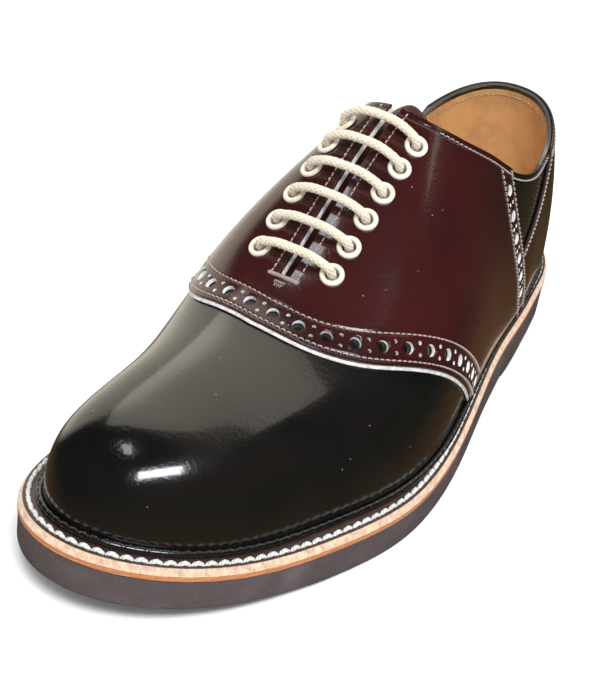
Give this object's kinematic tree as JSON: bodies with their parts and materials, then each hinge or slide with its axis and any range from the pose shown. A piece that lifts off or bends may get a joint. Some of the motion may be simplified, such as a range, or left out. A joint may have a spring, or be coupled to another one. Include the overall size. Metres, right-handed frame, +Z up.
{
  "type": "saddle shoe",
  "caption": "Left lace-up saddle shoe: black polished leather with an oxblood saddle, perforated bands, ivory eyelets and cord lace on a brown rubber sole with a low heel.",
  "frame": {"origin": "middle of the box round the shoe, on the floor under the sole", "axes": "toe towards -Y, outer side of the left foot towards +X, +Z up from the floor"},
  "size_m": [0.1118, 0.295, 0.1153],
  "materials": {
    "black_leather": "high shine",
    "oxblood_leather": "high shine",
    "brown_leather": "satin",
    "tan_leather": "plain",
    "brown_welt": "stained top, pale cut edge",
    "brown_rubber": "matte",
    "ivory_enamel": "enamelled",
    "natural_cord": "waxed round cord"
  },
  "bodies": {
    "root": {"upper": "black_leather", "saddle": "oxblood_leather", "counter": "black_leather", "tongue": "brown_leather", "insole": "tan_leather", "welt": "brown_welt", "outsole": "brown_rubber", "heel": "brown_rubber", "lace": "natural_cord", "eyelet_outer_1": "ivory_enamel", "eyelet_outer_2": "ivory_enamel", "eyelet_outer_3": "ivory_enamel", "eyelet_outer_4": "ivory_enamel", "eyelet_outer_5": "ivory_enamel", "eyelet_outer_6": "ivory_enamel", "eyelet_inner_1": "ivory_enamel", "eyelet_inner_2": "ivory_enamel", "eyelet_inner_3": "ivory_enamel", "eyelet_inner_4": "ivory_enamel", "eyelet_inner_5": "ivory_enamel", "eyelet_inner_6": "ivory_enamel"}
  },
  "joints": []
}
